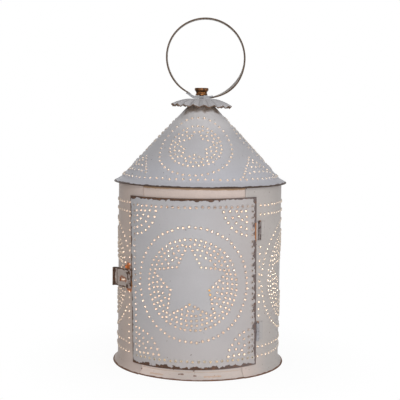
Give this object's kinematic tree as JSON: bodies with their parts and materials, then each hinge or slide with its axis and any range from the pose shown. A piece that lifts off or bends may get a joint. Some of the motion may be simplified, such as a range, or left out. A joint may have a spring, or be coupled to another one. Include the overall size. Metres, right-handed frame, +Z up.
{
  "type": "punched tin lantern",
  "caption": "Round punched-sheet lantern with a conical roof, fluted collar, carrying ring, hinged curved door with a hasp, and an electric candle inside.",
  "frame": {"origin": "centre of the base on the surface that the lantern stands on", "axes": "+Z up along the lantern's axis, -Y out through the middle of the door, +X to the hinge side"},
  "size_m": [0.18, 0.18, 0.3583],
  "materials": {
    "painted_tin": "matt grey-white paint, worn brown at the edges",
    "cream_tin": "matt cream-white paint",
    "worn_steel": "worn and rusted, paint remains",
    "aged_brass": "aged dark brass",
    "plain_steel": "plain",
    "socket_plastic": "moulded",
    "candle_tube": "ivory candle tube",
    "bulb_glass": "clear",
    "grommet_rubber": "moulded"
  },
  "bodies": {
    "lantern": {"body_shell": "painted_tin", "header_band": "cream_tin", "sill_band": "cream_tin", "base_pan": "painted_tin", "roof_cone": "painted_tin", "fluted_collar": "painted_tin", "top_stud": "aged_brass", "roof_washer": "plain_steel", "roof_lock_nut": "aged_brass", "finial_nut": "aged_brass", "upper_hinge_body_leaf": "worn_steel", "upper_hinge_pin": "plain_steel", "lower_hinge_body_leaf": "worn_steel", "lower_hinge_pin": "plain_steel", "latch_staple": "aged_brass", "lamp_bracket": "plain_steel", "lamp_nipple": "aged_brass", "nipple_nut": "aged_brass", "lamp_socket": "socket_plastic", "candle_sleeve": "candle_tube", "bulb_cap": "aged_brass", "bulb_glass": "bulb_glass", "bulb_stem": "bulb_glass", "cord_grommet": "grommet_rubber"},
    "door": {"door_panel": "painted_tin", "upper_hinge_door_leaf": "worn_steel", "lower_hinge_door_leaf": "worn_steel", "hasp_hinge_leaf": "worn_steel", "hasp_pin": "plain_steel"},
    "hasp": {"hasp_plate": "worn_steel"},
    "ring": {"carry_ring": "painted_tin"}
  },
  "joints": [
    {"name": "door_swing", "type": "hinge", "parent": "lantern", "child": "door", "pos_m": [0.06473, -0.05813, 0.0952], "axis": [0, 0, 1], "range_deg": [0, 150]},
    {"name": "hasp_lift", "type": "hinge", "parent": "door", "child": "hasp", "pos_m": [-0.06473, -0.05813, 0.0937], "axis": [0, 0, 1], "range_deg": [0, 120]},
    {"name": "ring_swivel", "type": "hinge", "parent": "lantern", "child": "ring", "pos_m": [0, 0, 0.2755], "axis": [0, 0, 1], "continuous": true}
  ]
}
